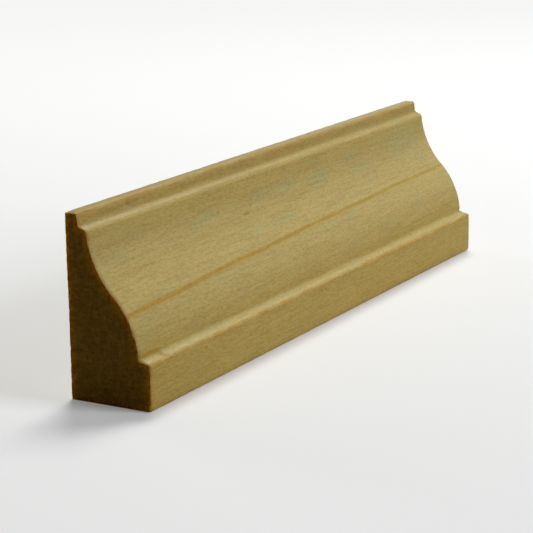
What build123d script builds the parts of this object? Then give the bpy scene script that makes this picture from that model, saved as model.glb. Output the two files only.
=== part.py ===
from build123d import *
from math import radians, tan
import os

# Shoe moulding: a short sawn length of pale wooden moulding, worked from one piece of stock.
# Millimetres. X runs along the length, the flat back faces +Y, the moulded face looks to -Y and +Z is
# up, as the piece stands at the foot of a wall. The origin is the middle of the underside.
# The section is given as projections out from the back and levels above the underside.

INCH = 25.4

# Size of the stock
length = 3.0 * INCH
height = 0.75 * INCH
thickness = 0.375 * INCH

# Top: the flat strip along the wall, and the fillet face that drops from it to the upper step
top_width = 1.43
fillet_drop = 1.31
fillet_lean_degrees = 6.0

# Upper step: the narrow shelf in front of the fillet, down to the nose where the cove begins
step_width = 0.98
step_fall_degrees = 19.0

# Moulded face between the shelves: a cove above that turns into a bead below
cove_radius = 0.375 * INCH
bead_radius = 0.375 * INCH

# Foot: the square band along the floor, with a narrow shelf between its arris and the bead
foot_height = 4.90
foot_shelf_width = 1.28
foot_shelf_fall_degrees = 12.0

# Rounding of the outer arrises, and of the two corners that the cutter leaves
arris_radius = 0.35
step_nose_radius = 0.50
back_arris_radius = 0.20
cutter_corner_radius = 0.20


def at(projection, level):
    """A point of the section, as a projection out from the back and a level above the underside."""
    return Vector(thickness / 2 - projection, level)


def moulded_section():
    """The outline of a sawn end: flat back and underside, two shelves, and the cove and bead."""
    back_foot = at(0, 0)
    back_top = at(0, height)
    top_arris = at(top_width, height)

    fillet_foot_projection = top_width + fillet_drop * tan(radians(fillet_lean_degrees))
    fillet_foot_level = height - fillet_drop
    fillet_foot = at(fillet_foot_projection, fillet_foot_level)

    step_nose_level = fillet_foot_level - step_width * tan(radians(step_fall_degrees))
    step_nose = at(fillet_foot_projection + step_width, step_nose_level)

    bead_foot_level = foot_height + foot_shelf_width * tan(radians(foot_shelf_fall_degrees))
    bead_foot = at(thickness - foot_shelf_width, bead_foot_level)
    foot_arris = at(thickness, foot_height)
    foot_toe = at(thickness, 0)

    # The cove and bead stand on one straight chord. They share a tangent where they meet on it,
    # because each takes a share of the chord in proportion to its radius.
    cove_share = cove_radius / (cove_radius + bead_radius)
    turn = step_nose + (bead_foot - step_nose) * cove_share
    cove = RadiusArc(step_nose, turn, cove_radius)
    bead = RadiusArc(turn, bead_foot, -bead_radius)

    shelves_and_back = Polyline(
        bead_foot, foot_arris, foot_toe, back_foot, back_top, top_arris, fillet_foot, step_nose
    )
    section = make_face(shelves_and_back + cove + bead)

    rounded_corners = (
        (top_arris, arris_radius),
        (fillet_foot, cutter_corner_radius),
        (step_nose, step_nose_radius),
        (bead_foot, cutter_corner_radius),
        (foot_arris, arris_radius),
        (foot_toe, arris_radius),
        (back_foot, back_arris_radius),
        (back_top, back_arris_radius),
    )
    for corner, radius in rounded_corners:
        nearest = section.vertices().sort_by_distance(corner)[0]
        section = fillet(nearest, radius)
    return section


shoe_moulding = extrude(Plane.YZ * moulded_section(), amount=length / 2, both=True)
shoe_moulding.label = "shoe_moulding"

os.makedirs("parts", exist_ok=True)
export_step(shoe_moulding, "parts/shoe_moulding.step")
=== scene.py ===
import math

import bpy
import numpy as np
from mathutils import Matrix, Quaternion, Vector, noise


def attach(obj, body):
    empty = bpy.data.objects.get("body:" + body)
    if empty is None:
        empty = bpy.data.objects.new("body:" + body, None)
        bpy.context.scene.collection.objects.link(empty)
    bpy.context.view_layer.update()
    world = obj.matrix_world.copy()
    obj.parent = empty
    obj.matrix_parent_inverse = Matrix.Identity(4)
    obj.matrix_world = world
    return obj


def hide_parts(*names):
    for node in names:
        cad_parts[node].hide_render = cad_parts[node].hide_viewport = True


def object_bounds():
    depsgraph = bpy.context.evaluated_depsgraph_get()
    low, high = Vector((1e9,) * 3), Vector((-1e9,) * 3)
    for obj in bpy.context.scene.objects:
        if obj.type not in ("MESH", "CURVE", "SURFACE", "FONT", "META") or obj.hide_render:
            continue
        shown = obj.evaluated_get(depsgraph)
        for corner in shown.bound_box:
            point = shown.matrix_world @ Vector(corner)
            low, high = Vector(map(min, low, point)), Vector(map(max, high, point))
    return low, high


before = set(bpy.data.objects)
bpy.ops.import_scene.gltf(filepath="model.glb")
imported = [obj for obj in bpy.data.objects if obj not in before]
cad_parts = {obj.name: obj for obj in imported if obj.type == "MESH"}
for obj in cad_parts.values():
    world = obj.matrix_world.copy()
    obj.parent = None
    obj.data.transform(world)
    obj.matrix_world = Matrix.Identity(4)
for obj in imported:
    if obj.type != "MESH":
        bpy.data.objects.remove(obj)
cad_low, cad_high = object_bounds()

# A short sawn length of basswood shoe moulding, standing on its underside with its left end near.
# X runs along the length, the flat back faces +Y and the moulded face looks to -Y. Lengths that are
# written as numbers are millimetres, and MM turns them into scene units.
MM = 0.001
LEFT_END = cad_low.x / MM
RIGHT_END = cad_high.x / MM
FRONT = cad_low.y / MM
BACK = cad_high.y / MM
TOP = cad_high.z / MM

# Sizes of the section, as the solid has them
TOP_WIDTH = 1.43
FILLET_DROP = 1.31
FILLET_LEAN = math.radians(6)
STEP_WIDTH = 0.98
STEP_FALL = math.radians(19)
OGEE_RADIUS = 9.525
FOOT_HEIGHT = 4.90
SHELF_WIDTH = 1.28
SHELF_FALL = math.radians(12)

# Its corners as the cutter leaves them, each a (y, z), and how far sanding has rounded them
foot_toe = np.array((FRONT, 0.0))
foot_arris = np.array((FRONT, FOOT_HEIGHT))
bead_foot = foot_arris + (SHELF_WIDTH, SHELF_WIDTH * math.tan(SHELF_FALL))
back_foot = np.array((BACK, 0.0))
back_top = np.array((BACK, TOP))
top_arris = back_top - (TOP_WIDTH, 0)
fillet_foot = top_arris - (FILLET_DROP * math.tan(FILLET_LEAN), FILLET_DROP)
step_nose = fillet_foot - (STEP_WIDTH, STEP_WIDTH * math.tan(STEP_FALL))
ARRIS_RADIUS = 0.35
STEP_NOSE_RADIUS = 0.50
BACK_ARRIS_RADIUS = 0.20
CUTTER_CORNER_RADIUS = 0.20
CORNER_STEPS = 8
ARC_STEPS = 40

# The outer arrises, and how hard sanding and handling have rubbed each
OUTER_ARRISES = (
    (foot_toe, 0.6),
    (foot_arris, 1.0),
    (step_nose, 0.15),
    (top_arris, 1.0),
    (back_top, 0.6),
    (back_foot, 0.4),
)

# Painted shade in the hollows, where less light reaches: the fillet face, the hollow under the nose of
# the step, and the corner at the foot of the bead. Each has its middle, its reach in mm and how dark
# its painted shade is.
SHADED_HOLLOWS = (
    (0.4 * top_arris + 0.6 * fillet_foot, 0.55, 1.0),
    (step_nose - (0.4, 1.8), 1.1, 0.4),
    (bead_foot + (0.1, 0.5), 0.35, 0.3),
)

# Mesh density: rows up the section, columns from front to back, and stations along the length, which
# stand closer together by the ends. So do the points where the outline bends, by this many mm for
# each radian. Edges sharper than this angle are drawn sharp.
ROWS = 168
COLUMNS = 22
END_STATIONS = (0.0, 0.05, 0.12, 0.22, 0.36, 0.56, 0.84)
EVEN_FROM = 1.2
STATION_STEP = 0.42
BEND_WEIGHT = 0.45
SHARP_ANGLE = math.radians(35)

# Wear by sanding and handling. It reaches this far from an arris, and has nibbled it this deep in bites
# of this length and width, more of them for a higher level. Then how a sawn end's rim is eased and
# frayed, and how far a painted warm glow goes from that rim on the sides and the end. This glow is
# painted light, standing in for light that shines through the thin wood at the rim. The left end's rim
# has a stronger painted glow than the right one's.
ARRIS_REACH = 0.34
NIBBLE_DEPTH = 0.06
NIBBLE_LENGTH = 1.3
NIBBLE_WIDTH = 1.5
NIBBLE_LEVEL = 0.35
RIM_EASE = 0.10
RIM_REACH = 0.18
RIM_DROP = 0.08
FRAY_SIZE = 0.8
RIM_GLOW_SIDE = 0.22
RIM_GLOW_END = 0.70
LEFT_RIM_GLOW = 1.0
RIGHT_RIM_GLOW = 0.3

# The planed sides are wavy by this much, over this length and this width
WAVE_DEPTH = 0.008
WAVE_LENGTH = 14
WAVE_WIDTH = 4

# The saw's marks across an end: how far apart and how deep they are, the (y, z) direction that the cut
# went in, and how far and how broadly they wander. Torn fibres leave pits of this depth and size.
SAW_PITCH = 0.9
SAW_DEPTH = 0.012
SAW_TRAVEL = (0.34, 0.94)
SAW_WANDER = 0.2
SAW_WANDER_SIZE = 6
TORN_DEPTH = 0.020
TORN_SIZE = 0.35

# Small hurts that show in the face: distance from the left end, (y, z), reach along and across, depth.
# They end where the square of the distance, counted in those reaches, is DENT_END.
DENT_END = 6
DENTS = (
    (3.5, (-4.1, 5.05), 0.45, 0.50, 0.25),
    (8.7, (3.2, 18.2), 0.35, 0.35, 0.32),
    (26.2, (3.25, 18.6), 0.60, 0.20, 0.08),
    (47.0, (-4.7, 4.75), 0.80, 0.20, 0.06),
    (48.0, (4.2, 19.05), 0.50, 0.30, 0.12),
    (61.5, (2.3, 17.2), 0.60, 0.25, 0.08),
    (75.8, (-3.5, 5.20), 0.40, 0.30, 0.25),
    (76.0, (3.25, 18.10), 0.40, 0.35, 0.14),
)

# The gap between the patches of the flat map
MAP_GAP = 1.0


# The camera, at the photograph's viewing angle

def make_camera():
    """A long lens that looks down at the left end and the moulded face."""
    place = Vector((-184.34, -101.08, 58.24))
    aim = Vector((-2.51, 2.59, 5.94))
    roll = Quaternion((0, 0, 1), math.radians(-0.52))
    data = bpy.data.cameras.new("camera")
    data.sensor_width = 36.0
    data.lens = 128.16
    data.clip_start = 0.01
    camera = bpy.data.objects.new("camera", data)
    camera.location = place * MM
    camera.rotation_euler = ((aim - place).to_track_quat("-Z", "Y") @ roll).to_euler()
    bpy.context.scene.collection.objects.link(camera)
    bpy.context.scene.camera = camera


# The outline of the section

def bulged(start, end, radius, steps):
    """Points on an arc from start to end. A positive radius bulges to the left of the way there."""
    chord = end - start
    half = np.hypot(*chord) / 2
    left = np.array((-chord[1], chord[0])) / (2 * half)
    centre = (start + end) / 2 - left * math.copysign(math.sqrt(radius ** 2 - half ** 2), radius)
    first = math.atan2(*(start - centre)[::-1])
    sweep = -2 * math.asin(half / radius)
    turns = first + sweep * np.linspace(0, 1, steps + 1)
    return centre + abs(radius) * np.stack((np.cos(turns), np.sin(turns)), axis=1)


def ogee():
    """The bead and then the cove above it, which meet half way along their common chord."""
    turn = (bead_foot + step_nose) / 2
    bead = bulged(bead_foot, turn, OGEE_RADIUS, ARC_STEPS)
    cove = bulged(turn, step_nose, -OGEE_RADIUS, ARC_STEPS)
    return np.concatenate((bead, cove[1:]))


def cut_back(side, at_start, at_end):
    """A side with a length taken off each end."""
    along = np.concatenate(([0], np.cumsum(np.hypot(*np.diff(side, axis=0).T))))
    ends = (at_start, along[-1] - at_end)
    kept = [distance for distance in along if ends[0] < distance < ends[1]]
    wanted = [ends[0], *kept, ends[1]]
    return np.stack([np.interp(wanted, along, side[:, axis]) for axis in (0, 1)], axis=1)


def section_outline():
    """The whole section as one closed line of points, up the face and down the back."""
    sides = (
        (np.array((foot_toe, foot_arris)), ARRIS_RADIUS),
        (np.array((foot_arris, bead_foot)), CUTTER_CORNER_RADIUS),
        (ogee(), STEP_NOSE_RADIUS),
        (np.array((step_nose, fillet_foot)), CUTTER_CORNER_RADIUS),
        (np.array((fillet_foot, top_arris)), ARRIS_RADIUS),
        (np.array((top_arris, back_top)), BACK_ARRIS_RADIUS),
        (np.array((back_top, back_foot)), BACK_ARRIS_RADIUS),
        (np.array((back_foot, foot_toe)), ARRIS_RADIUS),
    )
    corners = []
    for index, (side, radius) in enumerate(sides):
        following = sides[(index + 1) % len(sides)][0]
        heading_in = math.atan2(*(side[-1] - side[-2])[::-1])
        heading_out = math.atan2(*(following[1] - following[0])[::-1])
        turn = (heading_out - heading_in + math.pi) % (2 * math.pi) - math.pi
        corners.append((heading_in, turn, radius, radius * math.tan(abs(turn) / 2)))
    points = []
    for index, (side, _) in enumerate(sides):
        heading, turn, radius, set_back = corners[index]
        kept = cut_back(side, corners[index - 1][3], set_back)
        points.extend(kept)
        for step in range(1, CORNER_STEPS):
            part = turn * step / CORNER_STEPS
            chord = 2 * radius * math.sin(abs(part) / 2)
            direction = heading + part / 2
            points.append(kept[-1] + chord * np.array((math.cos(direction), math.sin(direction))))
    return np.array(points)


def reach(outline, direction):
    """The index of the outline's point that reaches farthest in a direction."""
    return int(np.argmax(outline @ np.array(direction)))


def run(outline, first, last):
    """The outline's points from one index to another, going on round it."""
    count = len(outline)
    return outline[[(first + step) % count for step in range((last - first) % count + 1)]]


def spaced(points, count):
    """The same line with count + 1 points, which stand closer together where it bends."""
    legs = np.diff(points, axis=0)
    heading = np.unwrap(np.arctan2(legs[:, 1], legs[:, 0]))
    bend = np.abs(np.diff(heading)) * BEND_WEIGHT
    effort = np.hypot(*legs.T)
    effort[:-1] += bend / 2
    effort[1:] += bend / 2
    along = np.concatenate(([0], np.cumsum(effort)))
    wanted = np.linspace(0, along[-1], count + 1)
    return np.stack([np.interp(wanted, along, points[:, axis]) for axis in (0, 1)], axis=1)


def section_runs():
    """The outline as four runs between its outer corners: face, top, back and underside."""
    outline = section_outline()
    toe = reach(outline, (-1, -1))
    top_front = reach(outline, (-1, 3))
    top_back = reach(outline, (1, 1))
    bottom_back = reach(outline, (1, -1))
    return (
        spaced(run(outline, toe, top_front), ROWS),
        spaced(run(outline, top_front, top_back), COLUMNS),
        spaced(run(outline, top_back, bottom_back), ROWS),
        spaced(run(outline, bottom_back, toe), COLUMNS),
    )


# What planing, sanding, sawing and handling did to the surfaces

def stations():
    """Places along the length in mm, closer together by the two sawn ends."""
    last = RIGHT_END - EVEN_FROM
    inner = np.arange(LEFT_END + EVEN_FROM, last + STATION_STEP / 2, STATION_STEP)
    left = [LEFT_END + step for step in END_STATIONS]
    right = [RIGHT_END - step for step in reversed(END_STATIONS)]
    return np.concatenate((left, inner, right))


def fractal(x, y, z, octaves):
    """Smooth noise of about -1 to 1 with finer detail in each octave."""
    return noise.fractal(Vector((x, y, z)), 0.9, 2.0, octaves, noise_basis="PERLIN_ORIGINAL")


def side_depth(x, y, z, arris):
    """How far the worked surface lies inside the true section, in mm."""
    wave = WAVE_DEPTH * (1 + fractal(x / WAVE_LENGTH, y / WAVE_WIDTH, z / WAVE_WIDTH, 2))
    bites = fractal(x / NIBBLE_LENGTH, y / NIBBLE_WIDTH, z / NIBBLE_WIDTH, 3)
    depth = wave + arris * NIBBLE_DEPTH * max(0.0, NIBBLE_LEVEL + bites)
    for from_left, (dent_y, dent_z), along, across, deepest in DENTS:
        far = ((x - LEFT_END - from_left) / along) ** 2
        far += ((y - dent_y) ** 2 + (z - dent_z) ** 2) / across ** 2
        if far < DENT_END:
            depth += deepest * math.exp(-far)
    return depth


def end_depth(y, z, side):
    """How far a sawn end lies inside the true length, in mm: saw marks and torn fibres."""
    travel = z * SAW_TRAVEL[1] + y * SAW_TRAVEL[0]
    travel += SAW_WANDER * fractal(y / SAW_WANDER_SIZE, z / SAW_WANDER_SIZE, side, 2)
    saw = SAW_DEPTH * (1 + math.sin(2 * math.pi * travel / SAW_PITCH))
    torn = TORN_DEPTH * max(0.0, fractal(y / TORN_SIZE, z / TORN_SIZE, 5 * side, 3))
    return saw + torn


def outward(loop):
    """Unit directions out of the section at each point of its closed outline."""
    along = np.roll(loop, -1, axis=0) - np.roll(loop, 1, axis=0)
    along /= np.hypot(*along.T)[:, None]
    return np.stack((-along[:, 1], along[:, 0]), axis=1)


def near(loop, middle, reach_out):
    """How near each point of the outline is to a place, from 0 to 1."""
    return np.exp(-(np.hypot(*(loop - middle).T) / reach_out) ** 2)


def arris_share(loop):
    """How much each point of the outline is rubbed, for lying near an outer arris."""
    return np.max([rub * near(loop, corner, ARRIS_REACH) for corner, rub in OUTER_ARRISES], axis=0)


def hollow_shade_share(loop):
    """How much painted shade each point of the outline gets, for lying in a hollow."""
    return np.max([shade_amount * near(loop, *place) for *place, shade_amount in SHADED_HOLLOWS], axis=0)


def worked_sides(loop, arris, places):
    """The points of the sides, station by station, with the rims of the sawn ends frayed."""
    normal = outward(loop)
    points = np.empty((len(places), len(loop), 3))
    for station, x in enumerate(places):
        from_end = min(x - LEFT_END, RIGHT_END - x)
        rim = RIM_EASE * math.exp(-((from_end / RIM_REACH) ** 2))
        for index, (y, z) in enumerate(loop):
            frayed = rim * (1 + max(0.0, fractal(y / FRAY_SIZE, z / FRAY_SIZE, x, 2)))
            inward = side_depth(x, y, z, arris[index]) + frayed
            points[station, index] = (x, *(loop[index] - normal[index] * inward))
    points[0, :, 0] += RIM_DROP
    points[-1, :, 0] -= RIM_DROP
    return points


# The mesh: worked sides all round, closed by the two sawn ends

def filled_end(face, top, back, underside):
    """The (y, z) places of a sawn end, ROWS up by COLUMNS across, between its four runs."""
    up = np.linspace(0, 1, ROWS + 1)[:, None, None]
    across = np.linspace(0, 1, COLUMNS + 1)[None, :, None]
    rows = face[:, None] * (1 - across) + back[::-1, None] * across
    columns = underside[None, ::-1] * (1 - up) + top[None] * up
    straight = rows[:1] * (1 - up) + rows[-1:] * up
    return rows + columns - straight


def end_numbers(ring, first_inner):
    """The point numbers of a sawn end: its edge is the ring of the sides, its inside is new."""
    numbers = np.empty((ROWS + 1, COLUMNS + 1), int)
    numbers[:, 0] = ring[:ROWS + 1]
    numbers[-1, :] = ring[ROWS:ROWS + COLUMNS + 1]
    numbers[::-1, -1] = ring[ROWS + COLUMNS:2 * ROWS + COLUMNS + 1]
    numbers[0, ::-1] = np.append(ring[2 * ROWS + COLUMNS:], ring[0])
    inside = numbers[1:-1, 1:-1]
    inside[:] = first_inner + np.arange(inside.size).reshape(inside.shape)
    return numbers


def quads(grid):
    """The four corners of each cell of a grid, in order round the cell."""
    cells = np.stack((grid[:-1, :-1], grid[1:, :-1], grid[1:, 1:], grid[:-1, 1:]), axis=2)
    return cells.reshape(-1, 4, *grid.shape[2:])


def make_moulding():
    """The moulding as one closed mesh, with a flat map of its sides and ends at one scale."""
    face, top, back, underside = section_runs()
    loop = np.concatenate((face[:-1], top[:-1], back[:-1], underside[:-1]))
    arris = arris_share(loop)
    places = stations()
    side_points = worked_sides(loop, arris, places).reshape(-1, 3)
    numbers = np.arange(len(side_points)).reshape(len(places), len(loop))
    legs = np.diff(np.vstack((loop, loop[:1])), axis=0)
    distance = np.concatenate(([0], np.cumsum(np.hypot(*legs.T))))
    points = [side_points]
    faces = [quads(np.hstack((numbers, numbers[:, :1])))]
    flat = [quads(np.stack(np.meshgrid(places - LEFT_END, distance, indexing="ij"), axis=2))]

    grid = filled_end(face, top, back, underside)
    inner = grid[1:-1, 1:-1].reshape(-1, 2)
    end_patch = grid - (FRONT, 0) + (0, distance[-1] + MAP_GAP)
    patch_step = (BACK - FRONT + MAP_GAP, 0)
    for end, (true_end, inward, ring) in enumerate(
        ((LEFT_END, 1, numbers[0]), (RIGHT_END, -1, numbers[-1]))
    ):
        order = slice(None, None, inward)
        first_inner = len(side_points) + end * len(inner)
        points.append([(true_end + inward * end_depth(y, z, end), y, z) for y, z in inner])
        faces.append(quads(end_numbers(ring, first_inner)[:, order]))
        flat.append(quads((end_patch + np.array(patch_step) * end)[:, order]))

    mesh = bpy.data.meshes.new("moulding")
    mesh.from_pydata(np.concatenate(points) * MM, [], np.concatenate(faces).tolist())
    flat_places = np.concatenate(flat) + MAP_GAP
    flat_places /= flat_places.max() + MAP_GAP
    mesh.uv_layers.new(name="OFBake").uv.foreach_set("vector", flat_places.ravel())
    # A painted warm glow along the sides by each sawn end, standing in for light shining through the
    # rim
    left_rim = LEFT_RIM_GLOW * np.exp(-(((places - LEFT_END) / RIM_GLOW_SIDE) ** 2))
    right_rim = RIGHT_RIM_GLOW * np.exp(-(((RIGHT_END - places) / RIM_GLOW_SIDE) ** 2))
    rub_and_glow_on_sides = np.maximum(arris[None, :], (left_rim + right_rim)[:, None])
    # A painted glow on each sawn end, fading inward from its rim
    from_rim = np.min(np.hypot(*(inner[:, None] - loop[None]).T), axis=0)
    glow_on_end = np.exp(-((from_rim / RIM_GLOW_END) ** 2))
    # Painted shade in the hollows of the section, the same at every station
    hollow_shade_on_sides = np.tile(hollow_shade_share(loop), len(places))
    no_hollow_shade = np.zeros(len(inner))
    shares = {
        # Real wear at the arrises, together with the painted warm glow by the sawn ends
        "rubbed_and_rim_glow": (rub_and_glow_on_sides.ravel(), LEFT_RIM_GLOW * glow_on_end, RIGHT_RIM_GLOW * glow_on_end),
        "hollow_shade": (hollow_shade_on_sides, no_hollow_shade, no_hollow_shade),
    }
    for name, share in shares.items():
        values = np.concatenate(share)
        mesh.attributes.new(name, "FLOAT", "POINT").data.foreach_set("value", values)
    end_faces = 2 * len(faces[1])
    mesh.polygons.foreach_set("material_index", [0] * len(faces[0]) + [1] * end_faces)
    mesh.polygons.foreach_set("use_smooth", [True] * len(mesh.polygons))
    mesh.set_sharp_from_angle(angle=SHARP_ANGLE)

    moulding = bpy.data.objects.new("moulding", mesh)
    bpy.context.scene.collection.objects.link(moulding)
    return moulding


# Materials

WOOD_IOR = 1.5


def linear(colour):
    """An sRGB hex colour as linear red, green, blue and alpha."""
    channels = [int(colour[start:start + 2], 16) / 255 for start in (1, 3, 5)]
    return (*(c / 12.92 if c <= 0.04045 else ((c + 0.055) / 1.055) ** 2.4 for c in channels), 1.0)


def add(tree, kind, feeds=None, **settings):
    """A node with its settings. Each feed is a value, a socket or a node, for an input in use."""
    node = tree.nodes.new("ShaderNode" + kind)
    for name, value in settings.items():
        setattr(node, name, value)
    in_use = [socket for socket in node.inputs if socket.enabled]
    for key, feed in (feeds or {}).items():
        socket = in_use[key] if isinstance(key, int) else next(s for s in in_use if s.name == key)
        if isinstance(feed, bpy.types.Node):
            feed = next(s for s in feed.outputs if s.enabled)
        if isinstance(feed, bpy.types.NodeSocket):
            tree.links.new(feed, socket)
        else:
            socket.default_value = feed
    return node


def shade(ramp, stops):
    """Fills a colour ramp with grey stops, each a place and a value. It is black beyond them."""
    elements = ramp.color_ramp.elements
    elements[-1].color = (0, 0, 0, 1)
    for place, value in stops:
        elements.new(place).color = (value, value, value, 1)


# The tree that the stock was cut from. Its pith ran along the length, this far from the middle of the
# stock, and the rings drift as the grain rises along the piece.
PITH = Vector((0, -72.07, 4.34))
GRAIN_RISE = 0.0201
GRAIN_BOW = -0.000095

# Late wood at the outer edge of each year's ring: its distance from the pith, and how dark it is. It
# darkens in these steps, each so many widths from the ring's edge. The rings wander by this much, in
# waves of this length, width and detail.
LATE_WOOD = ((68.4, 0.14), (71.11, 1.0), (73.9, 0.16), (76.6, 0.10))
LATE_WOOD_WIDTH = 0.31
LATE_WOOD_STEPS = ((-1.9, 0), (-1.1, 0.25), (-0.6, 1.0), (-0.1, 0.95), (0.3, 0))
RINGS_SHOWN = (64.0, 80.0)
RING_WANDER = 0.4
RING_WAVES = (14, 5, 5)


def ring_distance(tree, place):
    """The distance from the pith in mm, less the rise of the grain, so that a ring keeps one value."""
    across = add(tree, "VectorMath", {0: place, 1: (0, 1, 1)}, operation="MULTIPLY")
    spoke = add(tree, "VectorMath", {0: across, 1: PITH}, operation="SUBTRACT")
    length = add(tree, "VectorMath", {0: spoke}, operation="LENGTH")
    x = add(tree, "SeparateXYZ", {0: place}).outputs["X"]
    slope = add(tree, "Math", {0: x, 1: GRAIN_BOW, 2: GRAIN_RISE}, operation="MULTIPLY_ADD")
    rise = add(tree, "Math", {0: x, 1: slope, 2: RING_WANDER / 2}, operation="MULTIPLY_ADD")
    level = add(tree, "Math", {0: length, 1: rise}, operation="SUBTRACT")
    wander = fibres(tree, place, *RING_WAVES)
    return add(tree, "Math", {0: wander, 1: RING_WANDER, 2: level}, operation="MULTIPLY_ADD")


def late_wood(tree, distance):
    """How much dark late wood lies here: each ring darkens outward and ends at a sharp line."""
    first, last = RINGS_SHOWN
    place = add(tree, "MapRange", {"Value": distance, "From Min": first, "From Max": last})
    ramp = add(tree, "ValToRGB", {"Fac": place})
    stops = []
    for edge, strength in LATE_WOOD:
        for widths, darkness in LATE_WOOD_STEPS:
            radius = edge + widths * LATE_WOOD_WIDTH
            stops.append(((radius - first) / (last - first), darkness * strength))
    shade(ramp, stops)
    return ramp


def fibres(tree, place, length, width, detail):
    """Noise around 0.5, drawn out along the grain in patches of this length and width in mm."""
    squeeze = (1 / length, 1 / width, 1 / width)
    squeezed = add(tree, "VectorMath", {0: place, 1: squeeze}, operation="MULTIPLY")
    feeds = {"Vector": squeezed, "Scale": 1.0, "Detail": detail, "Roughness": 0.6}
    return add(tree, "TexNoise", feeds)


def between(tree, value, low, high):
    """A value stretched so that low becomes 0 and high becomes 1, with soft ends."""
    ends = {"Value": value, "From Min": low, "From Max": high}
    return add(tree, "MapRange", ends, interpolation_type="SMOOTHSTEP")


def mixed(tree, colour, other, amount):
    """The colour turned into another one, in the given amount."""
    return add(tree, "Mix", {"Factor": amount, "A": colour, "B": other}, data_type="RGBA")


def tinted(tree, colour, tint, amount):
    """The colour multiplied by a tint, in the given amount."""
    feeds = {"Factor": amount, "A": colour, "B": tint}
    return add(tree, "Mix", feeds, data_type="RGBA", blend_type="MULTIPLY")


# A spot is full this far from its centre toward its edge, and gone this far
SPOT_FULL = 0.3
SPOT_GONE = 1.2


def spot(tree, place, centre, length, width, height=None):
    """How much of a soft-edged spot lies here. Its centre is given as (from the left end, y, z), and
    without a height it is round across the grain."""
    from_left, y, z = centre
    away = add(tree, "VectorMath", {0: place, 1: (LEFT_END + from_left, y, z)}, operation="SUBTRACT")
    size = (2 / length, 2 / width, 2 / (height or width))
    scaled = add(tree, "VectorMath", {0: away, 1: size}, operation="MULTIPLY")
    reach_out = add(tree, "VectorMath", {0: scaled}, operation="LENGTH")
    return between(tree, reach_out, SPOT_GONE, SPOT_FULL)


# Marks in the face, each with its place (from the left end, y, z), its length and width in mm, and
# what it is: a pin fleck, a torn fibre that holds dirt, or a honey streak of gum. The last two are
# painted shade by the left end: a painted shadow line in the corner at the foot of the bead, and a
# darker patch on the dent in the shelf.
MARKS = (
    ((12.5, -3.33, 6.31), 0.50, 0.30, "pin"),
    ((62.8, -2.78, 8.14), 0.80, 0.28, "pin"),
    ((23.4, 1.61, 14.70), 0.60, 0.24, "torn"),
    ((30.6, 1.67, 14.87), 0.55, 0.24, "torn"),
    ((30.1, 1.40, 14.20), 0.60, 0.22, "torn"),
    ((28.7, 1.11, 13.61), 2.20, 0.34, "gum_and_painted_shade"),
    ((10.4, -4.76, 3.99), 0.60, 0.34, "gum_and_painted_shade"),
    ((35.2, -4.76, 4.16), 0.50, 0.28, "gum_and_painted_shade"),
    ((36.1, -4.76, 4.17), 0.60, 0.30, "gum_and_painted_shade"),
    # Painted shadow line in the corner at the foot of the bead, by the left end
    ((1.6, -3.40, 5.35), 5.00, 0.80, "gum_and_painted_shade"),
    # Painted shade on the dent in the shelf, where it breaks the shelf's highlight
    ((3.5, -4.00, 5.08), 1.20, 1.30, "gum_and_painted_shade"),
)
MARK_TINTS = {"pin": "#e4dfaa", "torn": "#e0dab3", "gum_and_painted_shade": "#ecd58c"}


def marked(tree, colour, place):
    """The colour with its few small marks."""
    for centre, length, width, kind in MARKS:
        here = spot(tree, place, centre, length, width)
        colour = tinted(tree, colour, linear(MARK_TINTS[kind]), here)
    return colour


def new_material(name):
    """An empty material, its node tree, and the place on the piece in mm."""
    material = bpy.data.materials.new(name)
    material.use_nodes = True
    tree = material.node_tree
    tree.nodes.clear()
    metres = add(tree, "TexCoord").outputs["Object"]
    place = add(tree, "VectorMath", {0: metres, 1: (1 / MM, 1 / MM, 1 / MM)}, operation="MULTIPLY")
    return material, tree, place


# Basswood along the grain. It is pale and even, from straw to a faint olive, and the cutter and fine
# sandpaper leave it dull with a soft sheen. Its pores and fibres are about 0.05 mm across, too fine to
# show, so they are drawn three to six times as wide.
STRAW = "#c8b162"
OLIVE = "#c1b46b"
MINERAL_TINT = "#f8fbff"
HONEY_TINT = "#efd745"
PALE_HONEY_TINT = "#f0e682"
FIBRE_TINT = "#f4efe4"
PORE_TINT = "#eee6d3"
# Tint of the rubbed arrises, and of the painted warm glow along the sides by the sawn ends
BURNISH_AND_GLOW_TINT = "#fcdf8a"
# Tint of the painted shade in the hollows
HOLLOW_SHADE_TINT = "#eee8da"
SIDE_ROUGHNESS = 0.52
SIDE_RELIEF = 0.012

# The figure in it: how long and wide in mm each kind is, its detail, and the levels of its noise
# between which it comes in
OLIVE_FLECKS = (2.4, 0.8, 4)
OLIVE_SHOWS = (0.60, 0.82)
MINERAL_STREAKS = (5, 0.55, 3)
MINERAL_SHOWS = (0.42, 0.60)
FIBRES = (5, 0.28, 2)
FIBRES_SHOW = (0.35, 0.70)
PORES = (0.60, 0.16, 2)
PORES_SHOW = (0.40, 0.66)
BURNISH_AND_GLOW_PATCHES = (2.5, 1.2, 2)
BURNISH_AND_GLOW_SHOWS = (0.30, 0.60)

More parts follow.
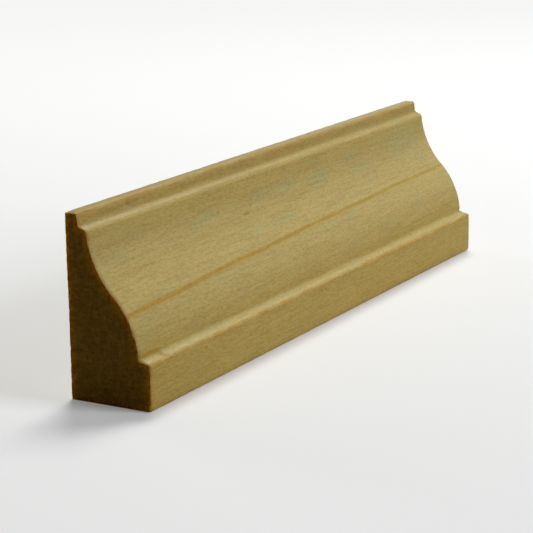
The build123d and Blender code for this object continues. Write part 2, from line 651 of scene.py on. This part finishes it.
# The olive stain lies in a few larger patches, each given by its centre (from the left end, y, z), its
# length and its width in mm, and all as deep as OLIVE_DEPTH. Between them it comes in flecks, and there
# is more of it toward the right end and the top, by OLIVE_LEAN for each mm.
OLIVE_PATCHES = (
    ((4.3, 1.28, 13.94), 5.5, 1.6),
    ((20.5, 1.49, 14.41), 8.5, 2.2),
    ((32.7, 1.65, 14.80), 5.5, 1.5),
    ((38.9, 1.65, 14.80), 6.5, 1.7),
    ((46.8, 1.56, 14.58), 7.5, 2.3),
    ((53.9, 1.94, 15.73), 5.0, 1.6),
    ((56.5, 1.24, 13.86), 6.5, 2.0),
    ((69.4, 1.75, 15.08), 11.0, 5.0),
    ((35.4, -0.02, 11.94), 8.0, 1.2),
    ((28.3, -0.24, 11.70), 4.5, 1.0),
    ((41.7, -1.78, 9.94), 4.5, 1.0),
    ((48.3, -1.62, 10.16), 4.5, 1.0),
    ((2.3, -2.81, 8.04), 3.2, 1.2),
    ((18.0, -2.13, 9.41), 4.0, 0.9),
    ((8.0, -1.53, 10.27), 7.0, 0.7),
)
OLIVE_DEPTH = 0.30
OLIVE_LEAN = (0.0022, 0.0, 0.003)

# The shelf is painted paler and greener than the rest, as painted light from above, in a strip with
# this middle and this length, width and height. The strip is far longer than the piece, so it stays
# even to both ends.
SHELF_PAINTED_LIGHT = "#cebc6c"
SHELF_MIDDLE = (38.1, -3.95, 5.05)
SHELF_STRIP = (400.0, 2.2, 0.75)


def planed_basswood():
    """The worked sides: straw and olive wood, fibres, pores, late wood lines and rubbed arrises, with
    painted shade in the hollows, a painted warm glow by each end and a painted lighter shelf.
    """
    material, tree, place = new_material("planed_basswood")
    lean = add(tree, "VectorMath", {0: place, 1: OLIVE_LEAN}, operation="DOT_PRODUCT").outputs["Value"]
    olive = add(tree, "Math", {0: fibres(tree, place, *OLIVE_FLECKS), 1: lean})
    for patch in OLIVE_PATCHES:
        feeds = {0: spot(tree, place, *patch), 1: OLIVE_DEPTH, 2: olive}
        olive = add(tree, "Math", feeds, operation="MULTIPLY_ADD")
    colour = mixed(tree, linear(STRAW), linear(OLIVE), between(tree, olive, *OLIVE_SHOWS))
    # Painted light on the shelf, which faces up
    shelf = spot(tree, place, SHELF_MIDDLE, *SHELF_STRIP)
    colour = mixed(tree, colour, linear(SHELF_PAINTED_LIGHT), shelf)
    line = late_wood(tree, ring_distance(tree, place))
    x = add(tree, "SeparateXYZ", {0: place}).outputs["X"]
    along = add(tree, "MapRange", {"Value": x, "From Min": LEFT_END, "From Max": RIGHT_END})
    honey = mixed(tree, linear(HONEY_TINT), linear(PALE_HONEY_TINT), along)
    colour = tinted(tree, colour, honey, line)
    mineral = between(tree, fibres(tree, place, *MINERAL_STREAKS), *MINERAL_SHOWS)
    colour = tinted(tree, colour, linear(MINERAL_TINT), mineral)
    coarse = fibres(tree, place, *FIBRES)
    colour = tinted(tree, colour, linear(FIBRE_TINT), between(tree, coarse, *FIBRES_SHOW))
    pores = fibres(tree, place, *PORES)
    colour = tinted(tree, colour, linear(PORE_TINT), between(tree, pores, *PORES_SHOW))
    # Painted shade, darker in the fillet face, under the step's nose and at the bead's foot
    hollow_shade = add(tree, "Attribute", attribute_name="hollow_shade").outputs["Fac"]
    colour = tinted(tree, colour, linear(HOLLOW_SHADE_TINT), hollow_shade)
    # Real wear at the arrises, and a painted warm glow along the sides by the sawn ends
    rubbed_and_rim_glow = add(tree, "Attribute", attribute_name="rubbed_and_rim_glow").outputs["Fac"]
    patchy = between(tree, fibres(tree, place, *BURNISH_AND_GLOW_PATCHES), *BURNISH_AND_GLOW_SHOWS)
    burnish_and_glow = add(tree, "Math", {0: rubbed_and_rim_glow, 1: patchy}, operation="MULTIPLY")
    colour = tinted(tree, colour, linear(BURNISH_AND_GLOW_TINT), burnish_and_glow)
    colour = marked(tree, colour, place)
    height = add(tree, "Math", {0: coarse, 1: pores}, operation="SUBTRACT")
    relief = add(tree, "Bump", {"Strength": 1.0, "Distance": SIDE_RELIEF * MM, "Height": height})
    surface = add(
        tree,
        "BsdfPrincipled",
        {"Base Color": colour, "Roughness": SIDE_ROUGHNESS, "IOR": WOOD_IOR, "Normal": relief},
    )
    add(tree, "OutputMaterial", {"Surface": surface})
    return material


# Basswood across the grain. The saw opens every fibre, so an end is darker and duller than the sides:
# mottled with pores, crossed by fine rays that run out from the pith, and scored by the saw. Its rim is
# painted warmer and lighter, a painted glow that stands in for light shining through where the wood
# between the end and the side is thin.
END_GRAIN = "#bc9c4a"
# The colour of the painted glow at an end's rim
END_RIM_GLOW = "#f2b748"
END_HONEY_SHARE = 0.35
END_MOTTLE_TINT = "#ede6d4"
END_PORE_TINT = "#d9cab0"
END_RAY_TINT = "#f2e6cf"
END_ROUGHNESS = 0.72
END_SPECULAR = 0.2
END_RELIEF = 0.03

# The figure in an end: the size in mm of its mottle and its pores, the length and width of its rays,
# and the levels of noise between which each comes in
END_MOTTLE = 0.8
END_MOTTLE_SHOWS = (0.40, 0.62)
END_PORES = 0.35
END_PORES_SHOW = (0.40, 0.72)
END_RAYS = (2.6, 0.16)
END_RAYS_SHOW = (0.4, 0.65)

# Light that enters the sides near an end comes out of its open fibres, reddest farthest from the rim
END_GLOW = 0.5
END_GLOW_REACH = (0.60, 0.30, 0.08)


def sawn_basswood():
    """The two sawn ends: mottled pores, rays, late wood lines, the marks of the saw and a painted warm
    glow at the rim.
    """
    material, tree, place = new_material("sawn_basswood")
    distance = ring_distance(tree, place)
    # Painted glow at the rim of the end, standing in for light shining through the thin wood
    rubbed_and_rim_glow = add(tree, "Attribute", attribute_name="rubbed_and_rim_glow").outputs["Fac"]
    colour = mixed(tree, linear(END_GRAIN), linear(END_RIM_GLOW), rubbed_and_rim_glow)
    line = add(tree, "Math", {0: late_wood(tree, distance), 1: END_HONEY_SHARE}, operation="MULTIPLY")
    colour = tinted(tree, colour, linear(HONEY_TINT), line)
    mottle = add(tree, "TexNoise", {"Vector": place, "Scale": 1 / END_MOTTLE, "Detail": 2.0})
    blotches = between(tree, mottle, *END_MOTTLE_SHOWS)
    colour = tinted(tree, colour, linear(END_MOTTLE_TINT), blotches)
    spoke = add(tree, "VectorMath", {0: place, 1: PITH}, operation="SUBTRACT")
    axes = add(tree, "SeparateXYZ", {0: spoke})
    angle = add(tree, "Math", {0: axes.outputs["Z"], 1: axes.outputs["Y"]}, operation="ARCTAN2")
    turned = add(tree, "Math", {0: angle, 1: -PITH.y}, operation="MULTIPLY")
    polar = add(tree, "CombineXYZ", {"X": distance, "Y": turned})
    ray_length, ray_width = END_RAYS
    squeeze = (1 / ray_length, 1 / ray_width, 1)
    stretched = add(tree, "VectorMath", {0: polar, 1: squeeze}, operation="MULTIPLY")
    rays = add(tree, "TexNoise", {"Vector": stretched, "Scale": 1.0, "Detail": 2.0})
    colour = tinted(tree, colour, linear(END_RAY_TINT), between(tree, rays, *END_RAYS_SHOW))
    feeds = {"Vector": place, "Scale": 1 / END_PORES, "Detail": 3.0, "Roughness": 0.65}
    pores = add(tree, "TexNoise", feeds)
    colour = tinted(tree, colour, linear(END_PORE_TINT), between(tree, pores, *END_PORES_SHOW))
    feeds = {"Strength": 1.0, "Distance": END_RELIEF * MM, "Height": pores}
    relief = add(tree, "Bump", feeds, invert=True)
    surface = add(
        tree,
        "BsdfPrincipled",
        {
            "Base Color": colour,
            "Roughness": END_ROUGHNESS,
            "IOR": WOOD_IOR,
            "Specular IOR Level": END_SPECULAR,
            "Subsurface Weight": END_GLOW,
            "Subsurface Radius": END_GLOW_REACH,
            "Subsurface Scale": MM,
            "Normal": relief,
        },
    )
    add(tree, "OutputMaterial", {"Surface": surface})
    return material


# The studio: a pale floor that fades into a paler backdrop, and five broad lights

# What the eye sees: a matt floor that also glows faintly, fades into the backdrop between these two
# distances from the piece, and ends out of sight
PALE = "#ececea"
BACKDROP = "#f6f6f4"
FLOOR_ROUGHNESS = 0.9
FLOOR_GLOW = 0.25
FADE_FROM = 60
FADE_TO = 360
FLOOR_REACH = 4000

# What they throw back on the piece, in linear red, green, blue and alpha. The floor's share is darker
# and warmer than it looks, and darker still to the left, where it changes between these places on X.
FLOOR_BOUNCE = (0.50, 0.41, 0.27, 1.0)
FLOOR_SHADE = (0.27, 0.23, 0.10, 1.0)
SHADE_FROM = -15
SHADE_TO = -60
BACKDROP_BOUNCE = (0.02, 0.02, 0.02, 1.0)

# Each light: its name, the way it stands from the piece, how far, how bright, and its colour
LIGHT_SIDE = 220
LIGHTS = (
    ("front_light", (0.19, -0.86, 0.45), 600, 1.50, (0.98, 1.0, 1.06)),
    ("top_light", (0.50, 0.20, 0.85), 600, 1.78, (1.0, 1.0, 1.0)),
    ("side_light", (0.84, -0.33, 0.38), 360, 0.42, (1.0, 1.0, 1.0)),
    ("back_light", (0.93, 0.30, 0.22), 500, 0.18, (0.95, 1.0, 1.05)),
    ("rear_light", (0.25, 0.94, 0.14), 600, 0.90, (1.0, 1.0, 1.0)),
)


def make_floor():
    """A pale floor that fades into the backdrop, and throws its own light back on the piece."""
    material, tree, place = new_material("pale_floor")
    seen = add(tree, "LightPath").outputs["Is Camera Ray"]
    x = add(tree, "SeparateXYZ", {0: place}).outputs["X"]
    bounce = mixed(tree, FLOOR_BOUNCE, FLOOR_SHADE, between(tree, x, SHADE_FROM, SHADE_TO))
    glow = add(tree, "Math", {0: seen, 1: FLOOR_GLOW}, operation="MULTIPLY")
    feeds = {
        "Base Color": mixed(tree, bounce, linear(PALE), seen),
        "Roughness": FLOOR_ROUGHNESS,
        "Specular IOR Level": 0.0,
        "Emission Color": linear(PALE),
        "Emission Strength": glow,
    }
    lit = add(tree, "BsdfPrincipled", feeds)
    backdrop = add(tree, "Emission", {"Color": linear(BACKDROP)})
    away = add(tree, "VectorMath", {0: place}, operation="LENGTH")
    far = between(tree, away, FADE_FROM, FADE_TO)
    fading = add(tree, "Math", {0: far, 1: seen}, operation="MULTIPLY")
    surface = add(tree, "MixShader", {0: fading, 1: lit, 2: backdrop})
    add(tree, "OutputMaterial", {"Surface": surface})
    side = FLOOR_REACH * MM
    corners = [(-side, -side, 0), (side, -side, 0), (side, side, 0), (-side, side, 0)]
    mesh = bpy.data.meshes.new("floor")
    mesh.from_pydata(corners, [], [(0, 1, 2, 3)])
    mesh.materials.append(material)
    floor = bpy.data.objects.new("floor", mesh)
    bpy.context.scene.collection.objects.link(floor)


def make_light(name, towards, distance, brightness, colour):
    """A soft square light that faces the piece, bright enough to light it as much from any distance."""
    data = bpy.data.lights.new(name, "AREA")
    data.size = LIGHT_SIDE * MM
    data.energy = brightness * math.pi * (distance * MM) ** 2
    data.color = colour
    light = bpy.data.objects.new(name, data)
    light.location = Vector(towards).normalized() * distance * MM
    light.rotation_euler = Vector(towards).to_track_quat("Z", "Y").to_euler()
    light.visible_camera = False
    bpy.context.scene.collection.objects.link(light)


def make_surroundings():
    """A pale backdrop to look at, which lights the piece only dimly."""
    world = bpy.data.worlds.new("surroundings")
    world.use_nodes = True
    tree = world.node_tree
    tree.nodes.clear()
    seen = add(tree, "LightPath").outputs["Is Camera Ray"]
    colour = mixed(tree, BACKDROP_BOUNCE, linear(BACKDROP), seen)
    add(tree, "OutputWorld", {"Surface": add(tree, "Background", {"Color": colour})})
    bpy.context.scene.world = world


make_camera()
moulding = make_moulding()
moulding.data.materials.append(planed_basswood())
moulding.data.materials.append(sawn_basswood())
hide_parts("shoe_moulding")
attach(moulding, "root")

make_floor()
for light in LIGHTS:
    make_light(*light)
make_surroundings()
bpy.context.scene.view_settings.view_transform = "Standard"
